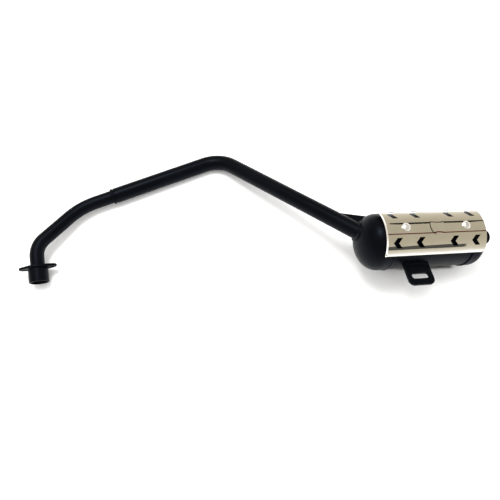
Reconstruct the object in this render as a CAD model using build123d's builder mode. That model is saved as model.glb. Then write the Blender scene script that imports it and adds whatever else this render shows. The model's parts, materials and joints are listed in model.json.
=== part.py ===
from build123d import *
from math import cos, radians, sin
import os

os.makedirs("parts", exist_ok=True)

# Small single-exit racing exhaust, lying on its side as it rests on a flat floor.
# Millimetres, +Z up, floor at Z = 0, +X from the engine end to the outlet.

# ---- tube sizes ------------------------------------------------------------
HEADER_R = 11.0          # 22 mm header tube
MAIN_R = 13.0            # 26 mm main tube
TUBE_WALL = 1.5
MAIN_WALL = 1.9          # thicker, to be a close slip over the header
TAIL_R = 11.0            # 22 mm tail tube
CORE_R = 12.5            # perforated core, slips over the tail tube

# ---- bend table: corner points of the tube centre line ----------------------
PORT_MOUTH = Vector(-342.1, -109.3, 14.4)
CORNER_1 = Vector(-352.7, -52.3, 29.0)
CORNER_2 = Vector(-296.1, 27.4, 17.5)
CORNER_3 = Vector(-62.3, 131.9, 12.5)
PIPE_AIM = Vector(153.6, -48.3, 76.3)
BEND_1 = 38.0
BEND_2 = 95.0
BEND_3 = 48.0
JOINT_AT = 60.3          # main tube starts this far past CORNER_2
SLIP_LENGTH = 30.0
PIPE_REACH = 16.0        # main tube runs this far past PIPE_AIM, into the cap

# ---- engine end --------------------------------------------------------------
COLLAR_R = 15.0
COLLAR_LENGTH = 22.0
COUNTERBORE_R = 12.6
COUNTERBORE_DEPTH = 8.0
FLANGE_GAP = 1.0
FLANGE_THICK = 4.0
FLANGE_BORE_R = 12.0     # loose on the 22 mm header
FLANGE_HUB_R = 17.0
FLANGE_EAR_R = 7.5
FLANGE_HOLES = 42.5      # hole spacing
FLANGE_HOLE_R = 3.5      # M6 studs
FLANGE_TURN = 5.0        # rest angle of the loose flange

# ---- muffler, along its own axis from the shield's front edge ----------------
CAN_ORIGIN = Vector(176.2, -67.4, 73.3)
CAN_AZIMUTH = 8.4
CAN_SLOPE = -11.0
CAN_R = 42.1
CAN_WALL = 1.5
CAP_WALL = 1.0
DOME_BASE = 6.8
DOME_DEPTH = 30.8
SHELL_FRONT = 14.0
SHELL_REAR = 155.0
REAR_END = 175.0
REAR_CORNER_R = 13.7
CAP_RIM = 16.0           # where each cap's skirt ends on the shell
REAR_RIM = 152.0
TAIL_END = 202.0
TAIL_START = 150.0
CORE_START = 26.0
CORE_END = 162.0
FRONT_BAFFLE = 30.0
REAR_BAFFLE = 146.0
BAFFLE_THICK = 1.5

# ---- heat shield --------------------------------------------------------------
SHIELD_R = 47.5
SHIELD_THICK = 1.0
SHIELD_LENGTH = 165.5
LIP_WIDTH = 2.2          # its front edge is turned out a little
LIP_HEIGHT = 1.0
SHIELD_MID = 6.5         # angle of its centre line, from up towards -Y
SHIELD_HALF = 52.0
SHIELD_SHIFT = 3.0       # its axis stands off the can's axis by this much
SHIELD_SHIFT_AT = -54.0
SCREWS_AT = (33.0, 133.0)
CHEVRONS_AT = (9.8, 46.3, 102.5, 139.2)
CHEVRON_TILT = 28.0      # rows either side of the centre line
CHEVRON = [(0.6, 0), (7.0, 7.6), (15.4, 7.6), (9.4, 0), (15.4, -7.6), (7.0, -7.6)]

# ---- bracket -------------------------------------------------------------------
BRACKET_AT = 85.0        # angle round the can, from up towards -Y
BRACKET_FROM = 38.2
BRACKET_WIDTH = 42.4
BRACKET_REACH = 35.2
BRACKET_THICK = 3.0
SLOT_LENGTH = 27.5
SLOT_WIDTH = 8.5
SLOT_OUT = 20.7          # slot centre from the can's skin
TAB_CORNER_R = 9.0

# ---- gusset between the main tube and the front cap ------------------------------
GUSSET_ANGLE = -85.0     # where it meets the cap; negative is away from the bracket
GUSSET_TO = 3.0
GUSSET_FOOT = 38.0       # gusset starts this far before PIPE_AIM
GUSSET_THICK = 3.0

# ---- shield screws and the bosses they go into ------------------------------------
BOSS_R = 5.5
SCREW_R = 3.0            # M6 pan head
SCREW_HOLE_R = 3.5
SCREW_LENGTH = 6.0
HEAD_R = 6.4
HEAD_H = 3.4
CROSS_LONG = 6.4
CROSS_WIDE = 1.5
CROSS_DEEP = 2.0


# ---- local frames ---------------------------------------------------------------
AX = Vector(
    cos(radians(CAN_SLOPE)) * cos(radians(CAN_AZIMUTH)),
    cos(radians(CAN_SLOPE)) * sin(radians(CAN_AZIMUTH)),
    sin(radians(CAN_SLOPE)),
)
CAN_UP = (Vector(0, 0, 1) - AX * AX.Z).normalized()
CAN_NEAR = AX.cross(CAN_UP)          # towards -Y
CAN_AXIS = Axis(CAN_ORIGIN, AX)


def radial(angle):
    """Unit vector out of the can at an angle from up towards -Y."""
    return CAN_UP * cos(radians(angle)) + CAN_NEAR * sin(radians(angle))


SHIELD_ORIGIN = CAN_ORIGIN + radial(SHIELD_SHIFT_AT) * SHIELD_SHIFT
SHIELD_AXIS = Axis(SHIELD_ORIGIN, AX)


def section(origin, angle=0.0):
    """Half-section plane: x runs along the can, y runs outwards."""
    return Plane(origin=origin, x_dir=AX, z_dir=AX.cross(radial(angle)))


def across(origin, along):
    """Plane square to the can's axis, x up and y towards -Y."""
    return Plane(origin=origin + AX * along, x_dir=CAN_UP, z_dir=AX)


def tangent(origin, along, angle, out):
    """Plane touching a cylinder round the can: x along the can, z outwards."""
    return Plane(origin=origin + AX * along + radial(angle) * out, x_dir=AX, z_dir=radial(angle))


def tube_along(points, radii, outer, inner):
    """Round tube through corner points with a bend radius at each corner."""
    start = Plane(origin=points[0], z_dir=points[1] - points[0])
    with BuildPart() as tube:
        with BuildLine() as path:
            FilletPolyline(*points, radius=radii)
        with BuildSketch(start):
            Circle(outer)
            if inner:
                Circle(inner, mode=Mode.SUBTRACT)
        sweep(path=path.line)
    return tube.part


def save(part, name):
    part.label = name
    export_step(part, "parts/" + name + ".step")


# ---- engine end -------------------------------------------------------------------
PORT_DIR = (CORNER_1 - PORT_MOUTH).normalized()
PORT_FLAT = PORT_DIR.cross(Vector(0, 0, 1)).normalized()
PORT = Plane(origin=PORT_MOUTH, x_dir=PORT_FLAT, z_dir=PORT_DIR)
HEADER_START = PORT_MOUTH + PORT_DIR * COUNTERBORE_DEPTH

with BuildPart() as port_collar:
    with BuildSketch(PORT):
        Circle(COLLAR_R)
        Circle(HEADER_R, mode=Mode.SUBTRACT)
    extrude(amount=COLLAR_LENGTH)
    with BuildSketch(PORT):
        Circle(COUNTERBORE_R)
    extrude(amount=COUNTERBORE_DEPTH, mode=Mode.SUBTRACT)
    rims = port_collar.edges().filter_by(GeomType.CIRCLE)
    chamfer(rims.filter_by(lambda e: abs(e.radius - COLLAR_R) < 0.01), length=0.8)
save(port_collar.part, "port_collar")

with BuildPart() as collar_weld:
    ring = Plane(origin=HEADER_START, x_dir=PORT_DIR, z_dir=PORT_FLAT)
    with BuildSketch(ring):
        with BuildLine():
            Line((0, HEADER_R - 0.9), (0, COUNTERBORE_R))
            Line((0, COUNTERBORE_R), (-1.8, COUNTERBORE_R))
            RadiusArc((-1.8, COUNTERBORE_R), (0, HEADER_R - 0.9), -2.8)
        make_face()
    revolve(axis=Axis(HEADER_START, PORT_DIR))
save(collar_weld.part, "collar_weld")

FLANGE_BACK = COLLAR_LENGTH + FLANGE_GAP
FLANGE_CENTRE = PORT_MOUTH + PORT_DIR * FLANGE_BACK
FLANGE_LONG = PORT_FLAT.rotate(Axis((0, 0, 0), PORT_DIR), FLANGE_TURN)
FLANGE = Plane(origin=FLANGE_CENTRE, x_dir=FLANGE_LONG, z_dir=PORT_DIR)
with BuildPart() as port_flange:
    with BuildSketch(FLANGE):
        Circle(FLANGE_HUB_R)
        with Locations((FLANGE_HOLES / 2, 0), (-FLANGE_HOLES / 2, 0)):
            Circle(FLANGE_EAR_R)
        make_hull()
        Circle(FLANGE_BORE_R, mode=Mode.SUBTRACT)
        with Locations((FLANGE_HOLES / 2, 0), (-FLANGE_HOLES / 2, 0)):
            Circle(FLANGE_HOLE_R, mode=Mode.SUBTRACT)
    extrude(amount=FLANGE_THICK)
    flats = port_flange.faces().sort_by(Axis(PORT_MOUTH, PORT_DIR))
    chamfer(flats[0].outer_wire().edges() + flats[-1].outer_wire().edges(), length=0.5)
save(port_flange.part, "port_flange")

# ---- header and main tubes -----------------------------------------------------------
RUN_DIR = (CORNER_3 - CORNER_2).normalized()
JOINT_POINT = CORNER_2 + RUN_DIR * JOINT_AT
HEADER_END = JOINT_POINT + RUN_DIR * SLIP_LENGTH
ENTRY_DIR = (PIPE_AIM - CORNER_3).normalized()
MAIN_END = PIPE_AIM + ENTRY_DIR * PIPE_REACH

header_pipe = tube_along(
    [HEADER_START, CORNER_1, CORNER_2, HEADER_END],
    [BEND_1, BEND_2],
    HEADER_R,
    HEADER_R - TUBE_WALL,
)
save(header_pipe, "header_pipe")

main_points = [JOINT_POINT, CORNER_3, MAIN_END]
main_pipe = tube_along(main_points, [BEND_3], MAIN_R, MAIN_R - MAIN_WALL)
main_solid = tube_along(main_points, [BEND_3], MAIN_R, 0)
save(main_pipe, "main_pipe")

with BuildPart() as joint_weld:
    side = Plane(origin=JOINT_POINT, x_dir=RUN_DIR, z_dir=RUN_DIR.cross(Vector(0, 0, 1)))
    with BuildSketch(side):
        with BuildLine():
            Line((-3.2, HEADER_R), (0, HEADER_R))
            Line((0, HEADER_R), (0, MAIN_R))
            ThreePointArc((0, MAIN_R), (-2.2, MAIN_R - 0.2), (-3.2, HEADER_R))
        make_face()
    revolve(axis=Axis(JOINT_POINT, RUN_DIR))
save(joint_weld.part, "joint_weld")

# ---- muffler can ----------------------------------------------------------------------
CAP_R = CAN_R + CAP_WALL
CORE_HOLES_AT = [44.0 + 12.0 * i for i in range(8)]


def can_solid(radius, start, end):
    """Plain cylinder round the can's axis."""
    with BuildPart() as solid:
        with BuildSketch(across(CAN_ORIGIN, start)):
            Circle(radius)
        extrude(amount=end - start)
    return solid.part


def can_tube(outer, inner, start, end):
    """Plain ring or tube round the can's axis."""
    with BuildPart() as tube:
        with BuildSketch(across(CAN_ORIGIN, start)):
            Circle(outer)
            Circle(inner, mode=Mode.SUBTRACT)
        extrude(amount=end - start)
    return tube.part


def dome_solid(radius, depth, base, end):
    """Solid of the domed end, closed off at a flat face."""
    with BuildPart() as solid:
        with BuildSketch(section(CAN_ORIGIN)):
            with BuildLine():
                EllipticalCenterArc((base, 0), depth, radius, start_angle=90, arc_size=90)
                Line((base - depth, 0), (end, 0))
                Line((end, 0), (end, radius))
                Line((end, radius), (base, radius))
            make_face()
        revolve(axis=CAN_AXIS)
    return solid.part


def rear_solid(radius, corner, start, end):
    """Solid of the dished rear end with its rolled corner."""
    with BuildPart() as solid:
        with BuildSketch(section(CAN_ORIGIN)):
            with BuildLine():
                Line((start, 0), (start, radius))
                Line((start, radius), (end - corner, radius))
                RadiusArc((end - corner, radius), (end, radius - corner), corner)
                Line((end, radius - corner), (end, 0))
                Line((end, 0), (start, 0))
            make_face()
        revolve(axis=CAN_AXIS)
    return solid.part


def fillet_bead(at, radius, width, height, facing):
    """Fillet weld bead in the corner between a face and a cylinder."""
    with BuildPart() as bead:
        with BuildSketch(section(CAN_ORIGIN)):
            with BuildLine():
                Line((at, radius), (at, radius + height))
                middle = (at + facing * width * 0.62, radius + height * 0.62)
                ThreePointArc((at, radius + height), middle, (at + facing * width, radius))
                Line((at + facing * width, radius), (at, radius))
            make_face()
        revolve(axis=CAN_AXIS)
    return bead.part


dome_outer = dome_solid(CAP_R, DOME_DEPTH, DOME_BASE, CAP_RIM)
dome_inner = dome_solid(CAN_R, DOME_DEPTH - CAP_WALL, DOME_BASE, CAP_RIM)
front_cap = dome_outer - dome_inner - main_solid
save(front_cap, "front_cap")

rear_outer = rear_solid(CAP_R, REAR_CORNER_R, REAR_RIM, REAR_END)
rear_inner = rear_solid(CAN_R, REAR_CORNER_R - CAP_WALL, REAR_RIM, REAR_END - CAP_WALL)
tail_hole = can_solid(TAIL_R, REAR_RIM, TAIL_END)
rear_cap = rear_outer - rear_inner - tail_hole
save(rear_cap, "rear_cap")

save(can_tube(CAN_R, CAN_R - CAN_WALL, SHELL_FRONT, SHELL_REAR), "muffler_shell")
save(fillet_bead(CAP_RIM, CAN_R, 2.6, 1.4, 1), "front_seam_weld")
save(fillet_bead(REAR_RIM, CAN_R, 2.6, 1.4, -1), "rear_seam_weld")
save(can_tube(TAIL_R, TAIL_R - TUBE_WALL, TAIL_START, TAIL_END), "tail_pipe")
save(fillet_bead(REAR_END, TAIL_R, 3.0, 2.6, 1), "tail_weld")

# ---- muffler inside ----------------------------------------------------------------------
BORE_R = CAN_R - CAN_WALL
for name, start, facing in (("front_baffle", FRONT_BAFFLE, 1), ("rear_baffle", REAR_BAFFLE, -1)):
    disc = can_tube(BORE_R, CORE_R, start, start + BAFFLE_THICK)
    rim_end = start + facing * 7.0
    rim = can_tube(BORE_R, BORE_R - BAFFLE_THICK, min(start, rim_end), max(start, rim_end))
    save(disc + rim, name)

with BuildPart() as perforated_core:
    add(can_tube(CORE_R, CORE_R - TUBE_WALL, CORE_START, CORE_END))
    for number, at in enumerate(CORE_HOLES_AT):
        for step in range(3):
            angle = 60.0 * step + 30.0 * (number % 2)
            with BuildSketch(tangent(CAN_ORIGIN, at, angle, 0)):
                Circle(2.5)
            extrude(amount=CORE_R + 2, both=True, mode=Mode.SUBTRACT)
save(perforated_core.part, "perforated_core")

PACK_START = FRONT_BAFFLE + 8.0
PACK_END = REAR_BAFFLE - 8.0
save(can_tube(BORE_R, CORE_R, PACK_START, PACK_END), "glass_packing")

# ---- pipe to can joint ----------------------------------------------------------------------
AIM_SIDE = ENTRY_DIR.cross(AX).normalized()
ENTRY = Plane(origin=PIPE_AIM - ENTRY_DIR * 40, x_dir=AIM_SIDE, z_dir=ENTRY_DIR)
with BuildPart() as weld_band:
    with BuildSketch(ENTRY):
        Circle(MAIN_R + 3.0)
        Circle(MAIN_R, mode=Mode.SUBTRACT)
    extrude(amount=70)
dome_proud = dome_solid(CAP_R + 2.0, DOME_DEPTH + 2.0, DOME_BASE, DOME_BASE + 2)
inlet_weld = (weld_band.part & dome_proud) - dome_outer
save(inlet_weld, "inlet_weld")

GUSSET_TIP = CAN_ORIGIN + AX * GUSSET_TO + radial(GUSSET_ANGLE) * (CAP_R - 0.5)
tip_offset = GUSSET_TIP - PIPE_AIM
GUSSET_OUT = (tip_offset - ENTRY_DIR * tip_offset.dot(ENTRY_DIR)).normalized()
GUSSET = Plane(origin=PIPE_AIM, x_dir=ENTRY_DIR, z_dir=ENTRY_DIR.cross(GUSSET_OUT))
tip_along = tip_offset.dot(ENTRY_DIR)
tip_out = tip_offset.dot(GUSSET_OUT)
with BuildPart() as gusset_blank:
    with BuildSketch(GUSSET):
        with BuildLine():
            Polyline(
                (-GUSSET_FOOT, MAIN_R - 1),
                (-GUSSET_FOOT, MAIN_R + 1),
                (tip_along, tip_out),
                (tip_along + 4, MAIN_R - 1),
                close=True,
            )
        make_face()
    extrude(amount=GUSSET_THICK / 2, both=True)
gusset_plate = gusset_blank.part - dome_outer - main_solid - inlet_weld
save(gusset_plate, "gusset_plate")

# ---- bracket ---------------------------------------------------------------------------------
TAB = section(CAN_ORIGIN, BRACKET_AT)
TAB_MID = BRACKET_FROM + BRACKET_WIDTH / 2
with BuildPart() as mount_bracket:
    with BuildSketch(TAB):
        with Locations((TAB_MID, CAN_R + BRACKET_REACH / 2)):
            Rectangle(BRACKET_WIDTH, BRACKET_REACH)
    extrude(amount=BRACKET_THICK / 2, both=True)
    tip_corners = mount_bracket.edges().filter_by(
        lambda e: abs(e.length - BRACKET_THICK) < 0.01
        and (e.center() - CAN_ORIGIN).dot(radial(BRACKET_AT)) > CAN_R + 5
    )
    fillet(tip_corners, radius=TAB_CORNER_R)
    with BuildSketch(TAB):
        with Locations((TAB_MID, CAN_R + SLOT_OUT)):
            SlotOverall(SLOT_LENGTH, SLOT_WIDTH)
    extrude(amount=BRACKET_THICK, both=True, mode=Mode.SUBTRACT)
save(mount_bracket.part, "mount_bracket")

BEAD_R = 2.8
with BuildPart() as bracket_welds:
    root = Plane(
        origin=CAN_ORIGIN + AX * (BRACKET_FROM + 1.5),
        x_dir=radial(BRACKET_AT),
        z_dir=AX,
    )
    with BuildSketch(root):
        with Locations((CAN_R, BRACKET_THICK / 2), (CAN_R, -BRACKET_THICK / 2)):
            Circle(BEAD_R)
    extrude(amount=BRACKET_WIDTH - 3)
    with BuildSketch(root):
        with Locations((CAN_R + 5, 0)):
            Rectangle(20, BRACKET_THICK)
    extrude(amount=BRACKET_WIDTH, mode=Mode.SUBTRACT)
    add(can_solid(CAN_R, 0, 160), mode=Mode.SUBTRACT)
save(bracket_welds.part, "bracket_welds")

# ---- heat shield --------------------------------------------------------------------------------
with BuildPart() as heat_shield:
    with BuildSketch(section(SHIELD_ORIGIN, SHIELD_MID - SHIELD_HALF)):
        with BuildLine():
            Polyline(
                (0, SHIELD_R + LIP_HEIGHT),
                (LIP_WIDTH, SHIELD_R),
                (SHIELD_LENGTH, SHIELD_R),
                (SHIELD_LENGTH, SHIELD_R - SHIELD_THICK),
                (LIP_WIDTH - 0.3, SHIELD_R - SHIELD_THICK),
                (-0.4, SHIELD_R + LIP_HEIGHT - 0.9),
                close=True,
            )
        make_face()
    revolve(axis=SHIELD_AXIS, revolution_arc=2 * SHIELD_HALF)
    rear_corners = heat_shield.edges().filter_by(
        lambda e: abs(e.length - SHIELD_THICK) < 0.05
        and (e.center() - SHIELD_ORIGIN).dot(AX) > SHIELD_LENGTH - 1
    )
    fillet(rear_corners, radius=6)
    for side in (-1, 1):
        for at in CHEVRONS_AT:
            with BuildSketch(tangent(SHIELD_ORIGIN, at, SHIELD_MID + side * CHEVRON_TILT, 40)):
                with BuildLine():
                    Polyline(*CHEVRON, close=True)
                make_face()
            extrude(amount=12, mode=Mode.SUBTRACT)
    for at in SCREWS_AT:
        with BuildSketch(tangent(SHIELD_ORIGIN, at, SHIELD_MID, 40)):
            Circle(SCREW_HOLE_R)
        extrude(amount=12, mode=Mode.SUBTRACT)
save(heat_shield.part, "heat_shield")

# Screws and the bosses they go into stand square to the shield's centre line.
with BuildPart() as under_shield:
    with BuildSketch(across(SHIELD_ORIGIN, 0)):
        Circle(SHIELD_R - SHIELD_THICK)
    extrude(amount=SHIELD_LENGTH)

with BuildPart() as shield_bosses:
    for at in SCREWS_AT:
        with BuildSketch(tangent(SHIELD_ORIGIN, at, SHIELD_MID, 36)):
            Circle(BOSS_R)
            Circle(SCREW_R, mode=Mode.SUBTRACT)
        extrude(amount=15)
    add(can_solid(CAN_R, 0, 170), mode=Mode.SUBTRACT)
    add(under_shield.part, mode=Mode.INTERSECT)
save(shield_bosses.part, "shield_bosses")

with BuildPart() as shield_screws:
    for at in SCREWS_AT:
        seat = tangent(SHIELD_ORIGIN, at, SHIELD_MID, SHIELD_R)
        with BuildSketch(seat):
            Circle(SCREW_R)
        extrude(amount=-SCREW_LENGTH)
        half = Plane(origin=seat.origin, x_dir=AX, z_dir=AX.cross(seat.z_dir))
        with BuildSketch(half):
            with BuildLine():
                Line((0, 0), (HEAD_R, 0))
                Line((HEAD_R, 0), (HEAD_R, 0.9))
                ThreePointArc((HEAD_R, 0.9), (HEAD_R * 0.6, HEAD_H * 0.8), (0, HEAD_H))
                Line((0, HEAD_H), (0, 0))
            make_face()
        revolve(axis=Axis(seat.origin, seat.z_dir))
        for turn in (20, 110):
            with BuildSketch(seat.offset(HEAD_H - CROSS_DEEP)):
                Rectangle(CROSS_LONG, CROSS_WIDE, rotation=turn)
            extrude(amount=CROSS_DEEP + 1, mode=Mode.SUBTRACT)
save(shield_screws.part, "shield_screws")
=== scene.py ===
import json
import math

import bmesh
import bpy
import numpy
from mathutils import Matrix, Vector, noise


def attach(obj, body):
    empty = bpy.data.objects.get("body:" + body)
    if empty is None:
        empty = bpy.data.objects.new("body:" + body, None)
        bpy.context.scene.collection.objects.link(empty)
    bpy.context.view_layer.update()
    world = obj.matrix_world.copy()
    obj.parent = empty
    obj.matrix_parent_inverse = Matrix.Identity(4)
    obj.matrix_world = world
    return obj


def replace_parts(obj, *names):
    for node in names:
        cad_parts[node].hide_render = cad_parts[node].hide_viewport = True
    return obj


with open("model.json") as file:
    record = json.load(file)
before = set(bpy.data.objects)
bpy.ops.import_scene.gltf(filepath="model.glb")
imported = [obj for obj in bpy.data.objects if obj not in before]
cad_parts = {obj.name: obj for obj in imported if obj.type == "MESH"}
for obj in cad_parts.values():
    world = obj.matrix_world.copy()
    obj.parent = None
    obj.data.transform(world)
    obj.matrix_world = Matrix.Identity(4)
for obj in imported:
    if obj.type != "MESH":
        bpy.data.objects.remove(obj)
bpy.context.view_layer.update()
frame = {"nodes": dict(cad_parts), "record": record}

# ---- sizes, in metres -------------------------------------------------------------
BEAD_RIPPLE = 0.0021       # pitch of a weld bead's ripples
BEAD_SIDES = 14            # corners of its section
RING_BINS = 48             # places where a weld ring's section is averaged
FLOOR_SIZE = 14.0
CARD_DISTANCE = 0.9        # of the studio's strip cards from the shield's axis
# height of the black card that paints a deeper shadow beneath the can
PAINTED_SHADOW_CARD_HEIGHT = 0.003

# ---- the frame's own directions -----------------------------------------------------
MOUNTS = {mount["name"]: mount for mount in frame["record"]["mounts"]}
CAN_AXIS = Vector(MOUNTS["outlet_bore"]["axis"]).normalized()
CAN_UP = (Vector((0, 0, 1)) - CAN_AXIS * CAN_AXIS.z).normalized()
CAN_NEAR = CAN_AXIS.cross(CAN_UP)

# ---- camera and studio --------------------------------------------------------------
CAMERA_PLACE = Vector((-0.0074, -0.3988, 0.7217))
CAMERA_TILT = 26.145       # degrees up from straight down
CAMERA_LENS = 34.56        # mm, on a sensor 36 mm wide
KEY_PLACE, KEY_AIM = (-0.36, 0.34, 1.95), (0.05, 0.0, 0.0)
KEY_SIZE, KEY_POWER, KEY_COLOUR = (0.75, 0.6), 24.0, (1.0, 0.995, 0.98)
FILL_STRENGTH = 1.9
FILL_STOPS = (             # light on everything, from the horizon up
    (0.00, (0.25, 0.24, 0.22)),
    (1.00, (1.0, 1.0, 1.0)),
)
ROOM_STOPS = (             # the warm room that only gloss reflects, from the horizon up
    (0.00, (0.95, 0.92, 0.85)),
    (0.15, (0.65, 0.60, 0.48)),
    (0.50, (0.50, 0.45, 0.34)),
    (1.00, (0.42, 0.38, 0.28)),
)
STRIP_CARDS = (            # name, turn in degrees, start, end and width in metres, colour
    ("card_high", -30, 0.50, 1.10, 0.06, (0.01, 0.01, 0.01)),
    ("card_middle", 10, 0.45, 1.00, 0.06, (0.10, 0.02, 0.02)),
    ("card_low", 60, 0.45, 0.80, 0.20, (0.08, 0.08, 0.07)),
)


def node_points(name):
    """All of a CAD node's vertices at rest."""
    return [vertex.co.copy() for vertex in frame["nodes"][name].data.vertices]


def middle(points):
    """Mean of some points."""
    return sum(points, Vector()) / len(points)


def shield_cylinder():
    """Start of the shield's own axis, and its radius: a circle fitted round its outer face."""
    points = node_points("heat_shield")
    start = min(point.dot(CAN_AXIS) for point in points)
    flat = [(point.dot(CAN_UP), point.dot(CAN_NEAR)) for point in points]
    high = max(flat)
    near = max(flat, key=lambda pair: pair[1])
    far = min(flat, key=lambda pair: pair[1])

    def centre(a, b, c):
        d = 2 * (a[0] * (b[1] - c[1]) + b[0] * (c[1] - a[1]) + c[0] * (a[1] - b[1]))
        squares = [p[0] ** 2 + p[1] ** 2 for p in (a, b, c)]
        up = (squares[0] * (b[1] - c[1]) + squares[1] * (c[1] - a[1]) + squares[2] * (a[1] - b[1])) / d
        side = (squares[0] * (c[0] - b[0]) + squares[1] * (a[0] - c[0]) + squares[2] * (b[0] - a[0])) / d
        return up, side

    up, side = centre(high, near, far)
    radius = math.hypot(high[0] - up, high[1] - side)
    return CAN_AXIS * start + CAN_UP * up + CAN_NEAR * side, radius


# ---- materials ------------------------------------------------------------------------
def fill_ramp(node, stops):
    """Gives a colour ramp its stops; a stop's value is a colour or one number of grey."""
    elements = node.color_ramp.elements
    while len(elements) < len(stops):
        elements.new(0.5)
    for element, (place, value) in zip(elements, stops):
        element.position = place
        colour = value if isinstance(value, tuple) else (value, value, value)
        element.color = (*colour, 1)


class Nodes:
    """A material's node tree with short calls for what the materials here need."""

    def __init__(self, name):
        self.material = bpy.data.materials.new(name)
        self.material.use_nodes = True
        self.tree = self.material.node_tree
        self.shader = self.tree.nodes["Principled BSDF"]
        self.position = self.tree.nodes.new("ShaderNodeTexCoord").outputs["Object"]

    def add(self, kind, **inputs):
        node = self.tree.nodes.new(kind)
        for key, value in inputs.items():
            socket = node.inputs[key.replace("_", " ")]
            if isinstance(value, bpy.types.NodeSocket):
                self.tree.links.new(value, socket)
            else:
                socket.default_value = value
        return node

    def noise(self, scale, detail=3.0, stretch=None, roughness=0.5):
        where = self.position
        if stretch:
            mapping = self.add("ShaderNodeMapping", Vector=where, Scale=stretch)
            where = mapping.outputs["Vector"]
        texture = self.add("ShaderNodeTexNoise", Vector=where, Scale=scale, Detail=detail)
        texture.inputs["Roughness"].default_value = roughness
        return texture.outputs["Fac"]

    def ramp(self, fac, *stops):
        node = self.add("ShaderNodeValToRGB", Fac=fac)
        fill_ramp(node, stops)
        return node.outputs["Color"]

    def mix(self, fac, first, second):
        node = self.tree.nodes.new("ShaderNodeMix")
        node.data_type = "RGBA"
        for socket, value in zip((node.inputs[0], node.inputs[6], node.inputs[7]), (fac, first, second)):
            if isinstance(value, bpy.types.NodeSocket):
                self.tree.links.new(value, socket)
            else:
                socket.default_value = value
        return node.outputs[2]

    def bump(self, height, strength, distance, normal=None):
        node = self.add("ShaderNodeBump", Height=height, Strength=strength, Distance=distance)
        if normal:
            self.tree.links.new(normal, node.inputs["Normal"])
        return node.outputs["Normal"]

    def set(self, **inputs):
        for key, value in inputs.items():
            socket = self.shader.inputs[key.replace("_", " ")]
            if isinstance(value, bpy.types.NodeSocket):
                self.tree.links.new(value, socket)
            else:
                socket.default_value = value


def black_paint(name, grain=1.0, rough=0.0):
    """Satin black heat-proof paint: near-black blue, sprayed grain, a few dusty patches."""
    n = Nodes(name)
    patches = n.noise(14.0, detail=4.0)
    speckle = n.noise(1400.0, detail=2.0)
    grain_height = n.noise(620.0, detail=3.0, roughness=0.6)
    swell = n.noise(70.0, detail=2.0)
    base = n.ramp(patches, (0.35, (0.0012, 0.0014, 0.0024)), (0.7, (0.0022, 0.0026, 0.0040)))
    flecks = n.ramp(speckle, (0.66, 0.0), (0.78, 0.35))
    n.set(
        Base_Color=n.mix(flecks, base, (0.006, 0.007, 0.009, 1)),
        Roughness=n.ramp(patches, (0.3, 0.33 + rough), (0.7, 0.42 + rough)),
        Metallic=0.0,
        IOR=1.45,
        Specular_IOR_Level=0.08,
        Specular_Tint=(0.62, 0.74, 1.0, 1),
    )
    coarse = n.bump(swell, 0.10, 0.0006)
    n.set(Normal=n.bump(grain_height, 0.22 * grain, 0.00018, coarse))
    return n.material


def polished_steel():
    """Mirror-polished stainless sheet: faint waviness, fine polishing lines, slight haze."""
    n = Nodes("shield_polished")
    wave = n.noise(16.0, detail=1.0, stretch=(0.55, 1.0, 1.0))
    lines = n.noise(900.0, detail=2.0, stretch=(0.02, 1.0, 1.0))
    haze = n.noise(38.0, detail=4.0)
    n.set(
        Base_Color=n.ramp(haze, (0.3, (0.86, 0.835, 0.79)), (0.7, (0.93, 0.91, 0.875))),
        Metallic=1.0,
        Roughness=n.ramp(lines, (0.3, 0.02), (0.75, 0.06)),
    )
    n.set(Normal=n.bump(lines, 0.02, 0.00003, n.bump(wave, 0.30, 0.0009)))
    return n.material


def bright_steel(name, rough, tint):
    """Plated screw steel with small turning marks."""
    n = Nodes(name)
    marks = n.noise(1300.0, detail=3.0)
    cloud = n.noise(180.0, detail=2.0)
    n.set(
        Base_Color=n.ramp(cloud, (0.3, tuple(c * 0.88 for c in tint)), (0.7, tint)),
        Metallic=1.0,
        Roughness=n.ramp(marks, (0.3, rough), (0.75, rough + 0.14)),
        Normal=n.bump(marks, 0.12, 0.00008),
    )
    return n.material


def bare_steel():
    """Plain mild steel inside the can, with mill marks and a brown bloom."""
    n = Nodes("bare_mild_steel")
    bloom = n.noise(60.0, detail=5.0)
    mill = n.noise(500.0, detail=2.0, stretch=(0.06, 1.0, 1.0))
    n.set(
        Base_Color=n.ramp(bloom, (0.35, (0.42, 0.40, 0.37)), (0.62, (0.30, 0.24, 0.19))),
        Metallic=1.0,
        Roughness=n.ramp(mill, (0.3, 0.30), (0.7, 0.48)),
        Normal=n.bump(mill, 0.25, 0.0001),
    )
    return n.material


def glass_fibre():
    """Matted off-white glass fibre."""
    n = Nodes("glass_fibre_mat")
    strands = n.noise(240.0, detail=6.0, stretch=(0.15, 1.0, 1.0), roughness=0.7)
    n.set(
        Base_Color=n.ramp(strands, (0.3, (0.62, 0.58, 0.46)), (0.7, (0.88, 0.86, 0.78))),
        Roughness=0.9,
        Normal=n.bump(strands, 0.8, 0.0012),
    )
    return n.material


def pale_floor():
    """Plain white studio floor."""
    n = Nodes("studio_floor")
    tone = n.noise(1.2, detail=2.0)
    n.set(
        Base_Color=n.ramp(tone, (0.3, 0.90), (0.7, 0.92)),
        Roughness=0.65,
        Specular_IOR_Level=0.2,
    )
    return n.material


def flat_card(name, colour):
    """One even tone for a studio card."""
    material = bpy.data.materials.new(name)
    material.use_nodes = True
    tree = material.node_tree
    tree.nodes.clear()
    glow = tree.nodes.new("ShaderNodeEmission")
    glow.inputs["Color"].default_value = (*colour, 1)
    glow.inputs["Strength"].default_value = 1.0
    out = tree.nodes.new("ShaderNodeOutputMaterial")
    tree.links.new(glow.outputs["Emission"], out.inputs["Surface"])
    return material


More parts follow.
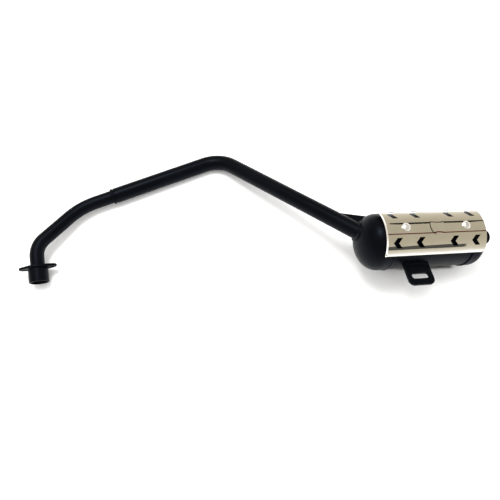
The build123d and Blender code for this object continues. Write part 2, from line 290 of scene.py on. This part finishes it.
PAINT = black_paint("black_satin_paint")
WELD_PAINT = black_paint("black_paint_on_weld", grain=1.6, rough=0.05)
POLISHED = polished_steel()
SCREW = bright_steel("screw_bright", 0.40, (0.98, 0.98, 0.98))
BARE = bare_steel()
FIBRE = glass_fibre()

NODE_MATERIALS = {
    "heat_shield": POLISHED,
    "shield_screws": SCREW,
    "shield_bosses": BARE,
    "inlet_weld": WELD_PAINT,
    "bracket_welds": WELD_PAINT,
    "front_baffle": BARE,
    "rear_baffle": BARE,
    "perforated_core": BARE,
    "glass_packing": FIBRE,
}


def dress_nodes():
    """Gives every carried-over CAD node its material."""
    for name, node in frame["nodes"].items():
        node.data.materials.clear()
        node.data.materials.append(NODE_MATERIALS.get(name, PAINT))


# ---- pieces ---------------------------------------------------------------------------
def finish_piece(mesh, name, material):
    """Makes a smooth object of a bmesh, riding on the exhaust."""
    data = bpy.data.meshes.new(name)
    mesh.to_mesh(data)
    mesh.free()
    for polygon in data.polygons:
        polygon.use_smooth = True
    data.materials.append(material)
    piece = bpy.data.objects.new(name, data)
    bpy.context.collection.objects.link(piece)
    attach(piece, "exhaust")
    return piece


def bead_tube(mesh, path, outward, radius, closed, seed):
    """Rippled weld bead along a path: overlapping scallops, each a little uneven."""
    lengths = [0.0]
    for first, second in zip(path, path[1:]):
        lengths.append(lengths[-1] + (second - first).length)
    total = lengths[-1] + ((path[0] - path[-1]).length if closed else 0.0)
    ripples = max(3, round(total / BEAD_RIPPLE))
    rings = []
    for index, point in enumerate(path):
        before = path[index - 1] if (closed or index) else path[index]
        after = path[(index + 1) % len(path)] if (closed or index + 1 < len(path)) else path[index]
        along = (after - before).normalized()
        out = outward[index] - along * outward[index].dot(along)
        out.normalize()
        side = along.cross(out)
        phase = lengths[index] / total * ripples
        scallop = abs(math.sin(math.pi * phase)) ** 0.6
        wobble = noise.noise(Vector((phase * 0.7, seed, 0.3)))
        size = radius * (0.84 + 0.16 * scallop + 0.10 * wobble)
        ring = []
        for step in range(BEAD_SIDES):
            angle = 2 * math.pi * step / BEAD_SIDES
            slant = along * (BEAD_RIPPLE * 0.35 * math.cos(angle))
            away = out * math.cos(angle) + side * math.sin(angle)
            ring.append(mesh.verts.new(point + slant + away * size))
        rings.append(ring)
    pairs = list(zip(rings, rings[1:] + rings[:1])) if closed else list(zip(rings, rings[1:]))
    for first, second in pairs:
        for step in range(BEAD_SIDES):
            following = (step + 1) % BEAD_SIDES
            mesh.faces.new((first[step], first[following], second[following], second[step]))
    if not closed:
        mesh.faces.new(rings[0][::-1])
        mesh.faces.new(rings[-1])


def ring_weld(name, radius, axis, steps=360, seed=0.0):
    """Rippled bead in place of a CAD weld ring, along the middle of its section."""
    points = node_points(name)
    centre = middle(points)
    axis = axis.normalized()
    first = axis.orthogonal().normalized()
    second = axis.cross(first)
    sums = [[] for _ in range(RING_BINS)]
    for point in points:
        offset = point - centre
        angle = math.atan2(offset.dot(second), offset.dot(first)) % (2 * math.pi)
        sums[int(angle / (2 * math.pi) * RING_BINS) % RING_BINS].append(point)
    coarse = [middle(found) if found else None for found in sums]
    for index, found in enumerate(coarse):
        if found is None:
            coarse[index] = (coarse[index - 1] + next(c for c in coarse[index + 1:] + coarse if c)) / 2
    smooth = [(coarse[i - 1] + coarse[i] * 2 + coarse[(i + 1) % RING_BINS]) / 4 for i in range(RING_BINS)]
    path = []
    for step in range(steps):
        place = step / steps * RING_BINS
        index = int(place) % RING_BINS
        path.append(smooth[index].lerp(smooth[(index + 1) % RING_BINS], place - int(place)))
    outward = [point - centre for point in path]
    mesh = bmesh.new()
    bead_tube(mesh, path, outward, radius, True, seed)
    return finish_piece(mesh, name + "_ripples", WELD_PAINT)


def ring_frame(name):
    """Centre, axis and outer radius of a CAD ring, its centre on the face furthest along the axis."""
    points = node_points(name)
    spread = numpy.array([tuple(point) for point in points])
    axis = Vector(numpy.linalg.svd(spread - spread.mean(axis=0), full_matrices=False)[2][2])
    if axis.x < 0:
        axis = -axis
    first = axis.orthogonal().normalized()
    second = axis.cross(first)
    centre = axis * max(point.dot(axis) for point in points)
    for direction in (first, second):
        reach = [point.dot(direction) for point in points]
        centre += direction * (min(reach) + max(reach)) / 2
    reach = [point.dot(first) for point in points]
    return centre, axis, (max(reach) - min(reach)) / 2


def turned_ring(name, centre, axis, profile, material, steps=128):
    """Ring turned round an axis from a closed profile of (along, radius)."""
    first = axis.orthogonal().normalized()
    second = axis.cross(first)
    mesh = bmesh.new()
    rows = []
    for step in range(steps):
        angle = 2 * math.pi * step / steps
        out = first * math.cos(angle) + second * math.sin(angle)
        rows.append([mesh.verts.new(centre + axis * along + out * radius) for along, radius in profile])
    for row, following in zip(rows, rows[1:] + rows[:1]):
        for index in range(len(profile)):
            after = (index + 1) % len(profile)
            mesh.faces.new((row[index], row[after], following[after], following[index]))
    bmesh.ops.recalc_face_normals(mesh, faces=mesh.faces)
    return finish_piece(mesh, name, material)


def joint_lip():
    """Rolled lip on the end of the main tube, with a groove on either side of it."""
    centre, axis, radius = ring_frame("joint_weld")
    low = radius - 0.0021          # inside the tube, out of sight
    crest_at, crest_half = -0.0032, 0.0022
    foot, rise = radius - 0.0010, 0.0011
    steps = 12
    profile = [(-0.0060, low)]
    for step in range(steps + 1):
        angle = math.pi * step / steps
        height = foot + rise * math.sin(angle) ** 0.7
        profile.append((crest_at - crest_half * math.cos(angle), height))
    profile += [(-0.0008, radius - 0.0016), (-0.0003, radius - 0.0016), (0.0, radius - 0.0002), (0.0, low)]
    piece = turned_ring("main_pipe_lip", centre, axis, profile, PAINT)
    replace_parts(piece, "joint_weld")


def blank_oval():
    """Blank pressed oval on the shield between its screws."""
    middle_along, half_long = 0.0845, 0.0118
    middle_turn, half_turn = 6.5, 16.0      # degrees from the can's top towards the near side
    height, lift, back_depth = 0.00020, 0.00003, 0.0006
    rings, spokes = 14, 56
    mesh = bmesh.new()

    def place(share, angle):
        along = middle_along + half_long * share * math.cos(angle)
        turn = math.radians(middle_turn + half_turn * share * math.sin(angle))
        outward = CAN_UP * math.cos(turn) + CAN_NEAR * math.sin(turn)
        rise = lift + height * (1 - share * share) ** 2
        return SHIELD_START + CAN_AXIS * along + outward * (SHIELD_RADIUS + rise)

    top = mesh.verts.new(place(0, 0))
    rows = []
    for ring in range(1, rings + 1):
        rows.append([
            mesh.verts.new(place(ring / rings, 2 * math.pi * spoke / spokes)) for spoke in range(spokes)
        ])
    back = mesh.verts.new(place(0, 0) - (place(0, 0) - SHIELD_START).normalized() * back_depth)
    for index in range(spokes):
        following = (index + 1) % spokes
        mesh.faces.new((top, rows[0][index], rows[0][following]))
        mesh.faces.new((back, rows[-1][following], rows[-1][index]))
        for inner, outer in zip(rows, rows[1:]):
            mesh.faces.new((inner[index], outer[index], outer[following], inner[following]))
    bmesh.ops.recalc_face_normals(mesh, faces=mesh.faces)
    for vertex in rows[-1]:
        for edge in vertex.link_edges:
            edge.smooth = edge.other_vert(vertex) not in rows[-1]
    finish_piece(mesh, "shield_blank_oval", POLISHED)


# ---- studio ---------------------------------------------------------------------------
def reflect_only(card):
    """A stage card that only glossy rays see."""
    card.visible_camera = False
    card.visible_diffuse = False
    card.visible_shadow = False
    card.visible_transmission = False
    card.visible_volume_scatter = False


def card_object(name, mesh, material):
    """Makes a stage card of a bmesh."""
    data = bpy.data.meshes.new(name)
    mesh.to_mesh(data)
    mesh.free()
    data.materials.append(material)
    card = bpy.data.objects.new(name, data)
    bpy.context.collection.objects.link(card)
    reflect_only(card)
    return card


def strip_card(name, turn, start, end, width, colour):
    """Straight card along the can, seen only as a soft streak in its polished shield.

    turn is in degrees from the can's top towards the near side, the rest in metres.
    """
    angle = math.radians(turn)
    outward = CAN_UP * math.cos(angle) + CAN_NEAR * math.sin(angle)
    across = CAN_AXIS.cross(outward)
    spine = SHIELD_START + outward * CARD_DISTANCE
    mesh = bmesh.new()
    mesh.faces.new([
        mesh.verts.new(spine + CAN_AXIS * along + across * side * width / 2)
        for along, side in ((start, -1), (end, -1), (end, 1), (start, 1))
    ])
    card_object(name, mesh, flat_card(name, colour))


def painted_shadow_card():
    """Black card just off the floor beneath the can, a painted shadow: it deepens the shadow on the floor
    there, and gloss sees it as painted shade on the can's underside.
    """
    across = CAN_AXIS.cross(Vector((0, 0, 1))).normalized()
    mesh = bmesh.new()
    rows = []
    for along, near in ((0.016, 0.0), (0.036, 0.022), (0.085, 0.031), (0.150, 0.036)):
        spine = SHIELD_START + CAN_AXIS * along
        rows.append([
            mesh.verts.new((spine + across * side).xy.to_3d() + Vector((0, 0, PAINTED_SHADOW_CARD_HEIGHT)))
            for side in (near, -0.024)
        ])
    for first, second in zip(rows, rows[1:]):
        mesh.faces.new((first[0], second[0], second[1], first[1]))
    card = card_object("painted_shadow_card", mesh, flat_card("painted_shadow_card", (0, 0, 0)))
    card.visible_diffuse = True
    card.visible_shadow = True


def area_light(name, place, aim, size, power, colour):
    """Soft rectangular light aimed at a point."""
    data = bpy.data.lights.new(name, "AREA")
    data.shape = "RECTANGLE"
    data.size, data.size_y = size
    data.energy = power
    data.color = colour
    light = bpy.data.objects.new(name, data)
    light.location = place
    light.rotation_euler = (Vector(aim) - Vector(place)).to_track_quat("-Z", "Y").to_euler()
    bpy.context.collection.objects.link(light)
    return light


def studio():
    """Pale floor, soft fill from all round, a warm room for gloss, and one key light."""
    bpy.ops.mesh.primitive_plane_add(size=FLOOR_SIZE)
    floor = bpy.context.object
    floor.name = "floor"
    floor.data.materials.append(pale_floor())

    world = bpy.data.worlds.new("studio")
    bpy.context.scene.world = world
    world.use_nodes = True
    tree = world.node_tree
    tree.nodes.clear()
    out = tree.nodes.new("ShaderNodeOutputWorld")
    coord = tree.nodes.new("ShaderNodeTexCoord")
    split = tree.nodes.new("ShaderNodeSeparateXYZ")
    tree.links.new(coord.outputs["Generated"], split.inputs["Vector"])
    room = tree.nodes.new("ShaderNodeValToRGB")
    tree.links.new(split.outputs["Z"], room.inputs["Fac"])
    fill_ramp(room, ROOM_STOPS)
    seen = tree.nodes.new("ShaderNodeBackground")
    tree.links.new(room.outputs["Color"], seen.inputs["Color"])
    fill = tree.nodes.new("ShaderNodeBackground")
    dome = tree.nodes.new("ShaderNodeValToRGB")
    tree.links.new(split.outputs["Z"], dome.inputs["Fac"])
    fill_ramp(dome, FILL_STOPS)
    tree.links.new(dome.outputs["Color"], fill.inputs["Color"])
    fill.inputs["Strength"].default_value = FILL_STRENGTH
    path = tree.nodes.new("ShaderNodeLightPath")
    mix = tree.nodes.new("ShaderNodeMixShader")
    tree.links.new(path.outputs["Is Glossy Ray"], mix.inputs["Fac"])
    tree.links.new(fill.outputs["Background"], mix.inputs[1])
    tree.links.new(seen.outputs["Background"], mix.inputs[2])
    tree.links.new(mix.outputs["Shader"], out.inputs["Surface"])

    area_light("key", KEY_PLACE, KEY_AIM, KEY_SIZE, KEY_POWER, KEY_COLOUR)


def camera():
    """Camera above and in front of the exhaust."""
    data = bpy.data.cameras.new("camera")
    data.lens = CAMERA_LENS
    data.sensor_width = 36.0
    view = bpy.data.objects.new("camera", data)
    view.location = CAMERA_PLACE
    view.rotation_euler = (math.radians(CAMERA_TILT), 0, 0)
    bpy.context.collection.objects.link(view)
    bpy.context.scene.camera = view


bpy.context.scene.view_settings.view_transform = "Standard"
dress_nodes()
studio()
camera()
SHIELD_START, SHIELD_RADIUS = shield_cylinder()

PORT_AXIS = Vector(MOUNTS["port_collar"]["axis"])
for weld, radius, axis in (
    ("front_seam_weld", 0.0013, CAN_AXIS),
    ("rear_seam_weld", 0.0013, CAN_AXIS),
    ("tail_weld", 0.0019, CAN_AXIS),
    ("collar_weld", 0.0014, PORT_AXIS),
):
    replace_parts(ring_weld(weld, radius, axis, seed=len(weld)), weld)
joint_lip()
blank_oval()

# black card beneath the can: painted shadow on the floor and painted shade on the can's underside
painted_shadow_card()
for card in STRIP_CARDS:
    strip_card(*card)

bpy.context.view_layer.update()
